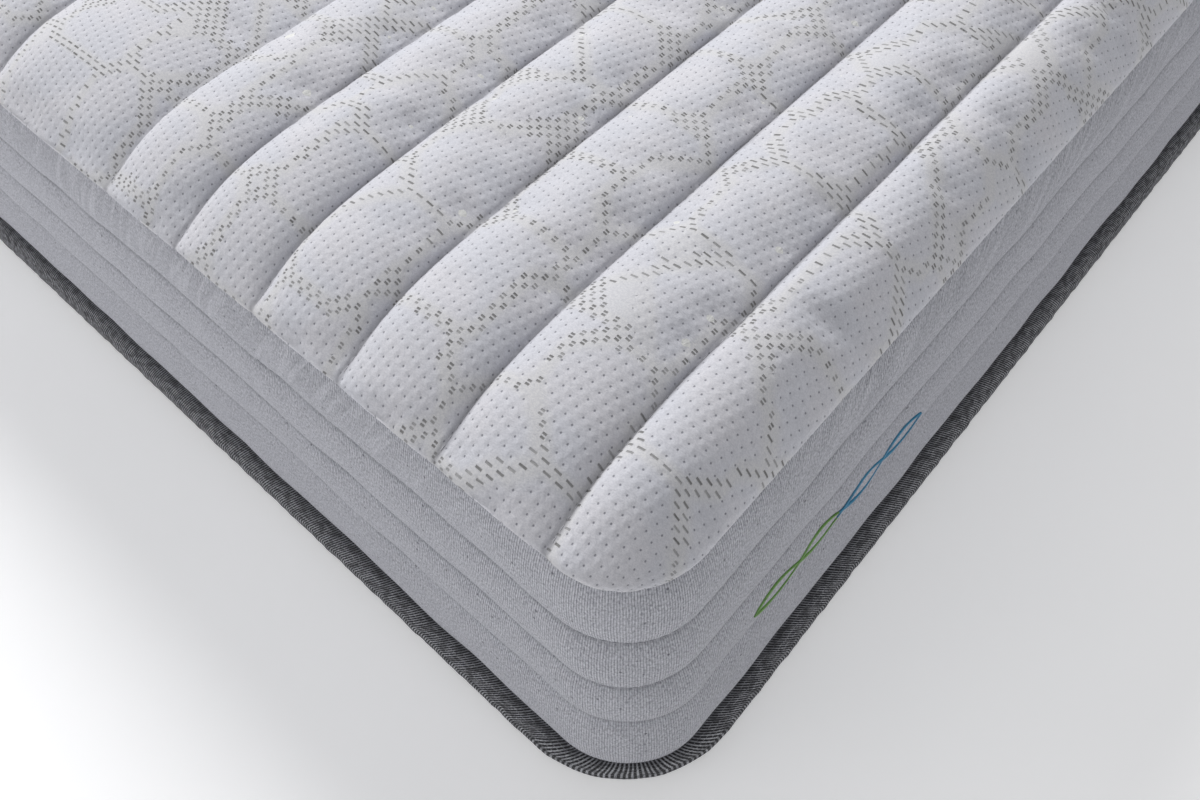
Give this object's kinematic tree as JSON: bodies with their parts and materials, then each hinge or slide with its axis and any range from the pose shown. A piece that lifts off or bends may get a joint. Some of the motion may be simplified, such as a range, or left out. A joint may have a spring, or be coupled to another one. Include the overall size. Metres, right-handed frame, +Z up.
{
  "type": "memory foam mattress",
  "caption": "Rectangular foam mattress with a channel-quilted knit top, a stitched knit border, layered foam inside and a zipped cover with a mesh underside.",
  "frame": {"origin": "centre of the underside, on the plane that the mattress rests on", "axes": "+Z up towards the sleeping surface, +Y along the length towards the head end where the zip is, +X across the width"},
  "size_m": [1.539, 2.047, 0.3232],
  "materials": {
    "top_knit": "white double-knit jacquard with small grey-olive dash figures, matt",
    "channel_thread": "white polyester quilting thread",
    "quilt_wadding": "white polyester fibre wadding",
    "quilt_backing": "pale spun-bonded non-woven sheet",
    "border_knit": "grey melange ribbed knit, matt",
    "border_wadding": "white fibre wadding",
    "border_thread": "grey polyester quilting thread",
    "seam_thread": "grey polyester seam thread",
    "bottom_mesh": "dark open polyester mesh",
    "fire_sleeve": "off-white stretch knit",
    "memory_foam": "cream visco-elastic foam, cut faces",
    "transition_foam": "pale open-cell foam, cut faces",
    "base_foam": "pale grey firm foam, cut faces",
    "zip_tape": "dark grey woven tape",
    "zip_coil": "dark grey nylon coil",
    "zip_metal": "gunmetal lacquer",
    "wave_green": "green satin-stitch embroidery thread",
    "wave_blue": "blue satin-stitch embroidery thread"
  },
  "bodies": {
    "mattress": {"top_knit_panel": "top_knit", "channel_thread_01": "channel_thread", "channel_thread_02": "channel_thread", "channel_thread_03": "channel_thread", "channel_thread_04": "channel_thread", "channel_thread_05": "channel_thread", "channel_thread_06": "channel_thread", "channel_thread_07": "channel_thread", "channel_thread_08": "channel_thread", "channel_thread_09": "channel_thread", "channel_thread_10": "channel_thread", "channel_thread_11": "channel_thread", "channel_thread_12": "channel_thread", "channel_thread_13": "channel_thread", "channel_thread_14": "channel_thread", "channel_thread_15": "channel_thread", "channel_thread_16": "channel_thread", "channel_thread_17": "channel_thread", "quilt_wadding": "quilt_wadding", "quilt_backing": "quilt_backing", "border_backing": "quilt_backing", "border_knit": "border_knit", "border_wadding": "border_wadding", "border_thread_upper": "border_thread", "border_thread_middle": "border_thread", "border_thread_lower": "border_thread", "top_seam_thread": "seam_thread", "bottom_seam_thread": "seam_thread", "bottom_mesh_band": "bottom_mesh", "bottom_mesh_panel": "bottom_mesh", "fire_sleeve": "fire_sleeve", "memory_foam_layer": "memory_foam", "transition_foam_layer": "transition_foam", "base_foam_core": "base_foam", "zip_upper_tape": "zip_tape", "zip_lower_tape": "zip_tape", "zip_upper_coil": "zip_coil", "zip_lower_coil": "zip_coil", "zip_closed_stop": "zip_metal", "zip_open_stop": "zip_metal", "wave_embroidery_green": "wave_green", "wave_embroidery_blue": "wave_blue"},
    "slider": {"zip_slider": "zip_metal"},
    "pull_tab": {"zip_pull_tab": "zip_metal"}
  },
  "joints": [
    {"name": "zip_travel", "type": "slide", "parent": "mattress", "child": "slider", "axis": [-1, 0, 0], "range_m": [0, 1.264]},
    {"name": "pull_tab_swing", "type": "hinge", "parent": "slider", "child": "pull_tab", "pos_m": [0.632, 1.01545, 0.0165], "axis": [0, 0, -1], "range_deg": [0, 175]}
  ]
}
